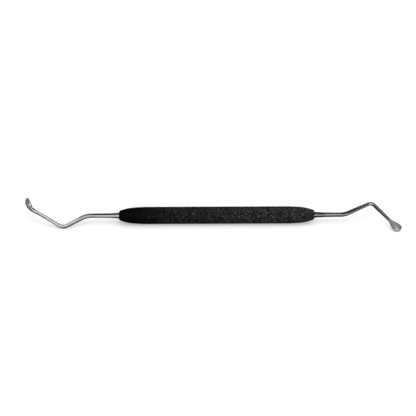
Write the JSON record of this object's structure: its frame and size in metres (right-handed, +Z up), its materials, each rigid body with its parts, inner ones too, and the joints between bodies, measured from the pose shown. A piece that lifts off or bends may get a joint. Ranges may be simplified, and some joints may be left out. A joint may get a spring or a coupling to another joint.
{
  "type": "caries excavator",
  "caption": "Double-ended dental hand instrument with a black textured grip and bent steel ends that carry small ground spoon blades.",
  "frame": {"origin": "on the resting surface, under the middle of the grip", "axes": "+X along the grip towards the end with the wide fan-shaped spoon, +Z up from the resting surface, +Y away from the side that the picture was taken from"},
  "size_m": [0.1734, 0.0162, 0.0105],
  "materials": {
    "grip": "moulded black grip with a fine pebbled grain",
    "steel": "polished round shanks, satin ground blade backs, polished bowls"
  },
  "bodies": {
    "root": {"grip": "grip", "left_working_end": "steel", "right_working_end": "steel"}
  },
  "joints": []
}
